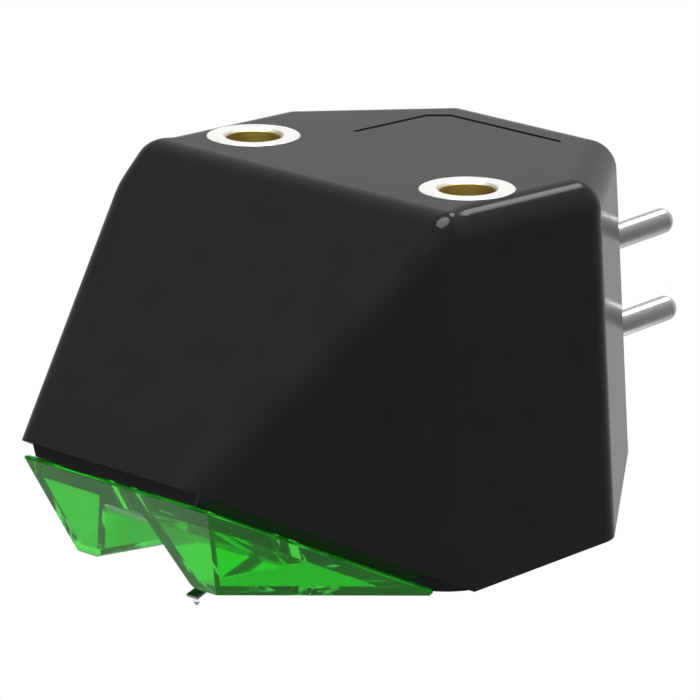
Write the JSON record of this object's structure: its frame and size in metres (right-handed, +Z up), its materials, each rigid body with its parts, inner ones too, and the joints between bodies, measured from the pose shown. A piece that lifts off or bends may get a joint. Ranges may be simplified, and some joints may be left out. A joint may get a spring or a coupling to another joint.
{
  "type": "turntable stylus cartridge",
  "caption": "Turntable cartridge: sloped black casing with threaded fixing inserts and rear terminal pins, and a pull-off clear green stylus guard with a sprung cantilever.",
  "frame": {"origin": "midway between the two fixing holes, on the mounting face", "axes": "+Z up out of the mounting face, -Y to the front of the nose, +X to the right"},
  "size_m": [0.0188, 0.0304, 0.0172],
  "materials": {
    "casing_plastic": "satin black moulding",
    "plated_brass": "turned and plated, bare brass in the bore",
    "insulating_board": "pressed board",
    "pin_plating": "bright plating",
    "screening_steel": "plain sheet",
    "core_iron": "stamped and annealed",
    "bobbin_plastic": "natural moulding",
    "copper_winding": "enamelled copper wire",
    "socket_plastic": "moulded",
    "guard_plastic": "clear green moulding, polished",
    "sleeve_metal": "drawn tube",
    "anchor_brass": "turned",
    "wire_steel": "fine wire",
    "damper_rubber": "matt",
    "cantilever_metal": "drawn tube",
    "magnet_alloy": "ground",
    "diamond": "ground and polished"
  },
  "bodies": {
    "cartridge": {"casing": "casing_plastic", "base_plate": "casing_plastic", "thread_insert_left": "plated_brass", "thread_insert_right": "plated_brass", "terminal_board": "insulating_board", "terminal_pin_upper_left": "pin_plating", "terminal_pin_upper_right": "pin_plating", "terminal_pin_lower_left": "pin_plating", "terminal_pin_lower_right": "pin_plating", "screen_can": "screening_steel", "core_left": "core_iron", "core_right": "core_iron", "bobbin_front_left": "bobbin_plastic", "bobbin_front_right": "bobbin_plastic", "bobbin_rear_left": "bobbin_plastic", "bobbin_rear_right": "bobbin_plastic", "coil_front_left": "copper_winding", "coil_front_right": "copper_winding", "coil_rear_left": "copper_winding", "coil_rear_right": "copper_winding", "stylus_socket": "socket_plastic"},
    "stylus_unit": {"stylus_guard": "guard_plastic", "stylus_sleeve": "sleeve_metal", "wire_anchor": "anchor_brass", "tie_wire": "wire_steel"},
    "damper": {"damper_ring": "damper_rubber"},
    "cantilever_unit": {"cantilever": "cantilever_metal", "magnet": "magnet_alloy", "stylus_tip": "diamond"}
  },
  "joints": [
    {"name": "stylus_removal", "type": "slide", "parent": "cartridge", "child": "stylus_unit", "axis": [0, -0.9397, -0.342], "range_m": [0, 0.009]},
    {"name": "cantilever_sway", "type": "hinge", "parent": "stylus_unit", "child": "damper", "pos_m": [0, -0.0036, -0.01475], "axis": [0, -0.342, 0.9397], "range_deg": [-2.5, 2.5], "stiffness_Nm_per_rad": 0.0019},
    {"name": "cantilever_dip", "type": "hinge", "parent": "damper", "child": "cantilever_unit", "pos_m": [0, -0.0036, -0.01475], "axis": [1, 0, 0], "range_deg": [-3, 3], "stiffness_Nm_per_rad": 0.0019}
  ]
}
